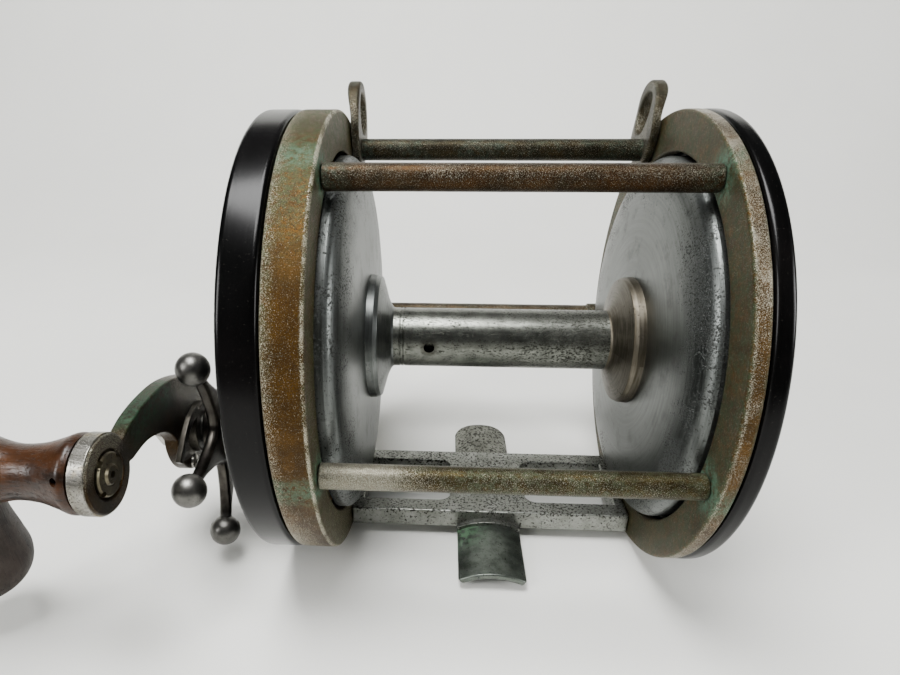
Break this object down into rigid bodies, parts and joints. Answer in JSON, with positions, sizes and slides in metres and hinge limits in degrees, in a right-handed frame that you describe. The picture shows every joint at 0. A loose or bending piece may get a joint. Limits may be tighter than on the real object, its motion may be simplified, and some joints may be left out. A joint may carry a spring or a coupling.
{
  "type": "trolling reel",
  "caption": "Conventional trolling reel with open pillar frame, dished spool, star drag, crank with T-bar grip, free-spool lever, click button, harness lugs and saddle foot.",
  "frame": {"origin": "middle of the reel foot, on the flat underside of its web", "axes": "+X along the spool from the crank side to the tail plate, +Y from the angler's side of the reel towards the rod's rear tongue, +Z from the foot up to the spool"},
  "size_m": [0.21, 0.1421, 0.1331],
  "materials": {
    "patina": "worn plate over tarnished brass",
    "ebonite": "polished hard rubber",
    "nickel": "satin nickel plate",
    "aluminium": "turned, lightly pitted",
    "steel": "dull, pitted",
    "dark_steel": "worn bright on the edges",
    "brass": "machined",
    "fibre": "pressed fibre",
    "wood": "dark varnish, worn"
  },
  "bodies": {
    "frame": {"head_ring": "patina", "head_plate": "ebonite", "tail_ring": "patina", "tail_plate": "ebonite", "head_screw_1": "nickel", "head_screw_2": "nickel", "head_screw_3": "nickel", "head_screw_4": "nickel", "tail_screw_1": "nickel", "tail_screw_2": "nickel", "tail_screw_3": "nickel", "tail_screw_4": "nickel", "pillar_front_top": "patina", "pillar_rear_top": "patina", "pillar_front_low": "patina", "pillar_rear_low": "patina", "harness_lug_head": "patina", "harness_lug_tail": "patina", "reel_foot": "steel", "bridge_plate": "brass", "dog_spring": "steel", "yoke_spring_front": "steel", "yoke_spring_rear": "steel", "head_bushing": "brass", "tail_bushing": "brass", "drive_tower": "nickel", "click_spring": "steel"},
    "spool": {"spool_arbor": "steel", "spool_flange_head": "aluminium", "spool_flange_tail": "aluminium", "hub_collar_head": "steel", "hub_collar_tail": "steel", "spool_spindle": "steel", "click_gear": "brass"},
    "pinion": {"pinion_gear": "brass"},
    "yoke": {"clutch_yoke": "steel"},
    "lever": {"free_spool_lever": "nickel"},
    "drive": {"drive_sleeve": "steel", "main_gear": "brass", "drag_washer_inner": "fibre", "drag_washer_outer": "fibre", "ratchet_wheel": "steel", "crank_arm": "patina", "crank_nut": "nickel", "crank_lock_finger": "dark_steel", "lock_screw": "nickel", "handle_spindle": "steel", "spanner_nut": "nickel"},
    "star": {"star_drag": "dark_steel"},
    "grip": {"handle_grip": "wood"},
    "dog": {"antireverse_dog": "steel"},
    "click": {"click_button": "nickel"},
    "pawl": {"click_pawl": "steel"},
    "head_cap": {"head_bearing_cap": "nickel"},
    "tail_cap": {"tail_bearing_cap": "nickel"}
  },
  "joints": [
    {"name": "spool_spin", "type": "hinge", "parent": "frame", "child": "spool", "pos_m": [0, 0, 0.0559], "axis": [1, 0, 0], "continuous": true},
    {"name": "drive_spin", "type": "hinge", "parent": "frame", "child": "drive", "pos_m": [-0.06, -0.01562, 0.03147], "axis": [1, 0, 0], "continuous": true},
    {"name": "star_turn", "type": "hinge", "parent": "drive", "child": "star", "pos_m": [-0.082, -0.01562, 0.03147], "axis": [1, 0, 0], "range_deg": [-120, 240]},
    {"name": "grip_spin", "type": "hinge", "parent": "drive", "child": "grip", "pos_m": [-0.11, -0.0623, 0.0466], "axis": [1, 0, 0], "continuous": true},
    {"name": "lever_turn", "type": "hinge", "parent": "frame", "child": "lever", "pos_m": [-0.066, 0.01293, 0.07612], "axis": [-1, 0, 0], "range_deg": [0, 40]},
    {"name": "yoke_slide", "type": "slide", "parent": "frame", "child": "yoke", "axis": [-1, 0, 0], "range_m": [0, 0.0018], "deforming": ["yoke_spring_front", "yoke_spring_rear"]},
    {"name": "pinion_slide", "type": "slide", "parent": "spool", "child": "pinion", "axis": [-1, 0, 0], "range_m": [0, 0.0018]},
    {"name": "dog_swing", "type": "hinge", "parent": "frame", "child": "dog", "pos_m": [-0.0523, -0.0334, 0.0427], "axis": [1, 0, 0], "range_deg": [0, 8], "stiffness_Nm_per_rad": 0.02},
    {"name": "click_slide", "type": "slide", "parent": "frame", "child": "click", "axis": [0, 0, 1], "range_m": [0, 0.005]},
    {"name": "pawl_swing", "type": "hinge", "parent": "click", "child": "pawl", "pos_m": [0.048, 0, 0.0319], "axis": [1, 0, 0], "range_deg": [-4, 4], "stiffness_Nm_per_rad": 0.01},
    {"name": "head_cap_turn", "type": "hinge", "parent": "frame", "child": "head_cap", "pos_m": [-0.067, 0, 0.0559], "axis": [1, 0, 0], "range_deg": [-90, 90]},
    {"name": "tail_cap_turn", "type": "hinge", "parent": "frame", "child": "tail_cap", "pos_m": [0.057, 0, 0.0559], "axis": [1, 0, 0], "range_deg": [-90, 90]}
  ],
  "couplings": [
    {"joint": "drive_spin", "follows": "spool_spin", "ratio": -0.45},
    {"joint": "lever_turn", "follows": "yoke_slide", "rad_per_m": 387.85},
    {"joint": "pinion_slide", "follows": "yoke_slide", "ratio": 1}
  ]
}
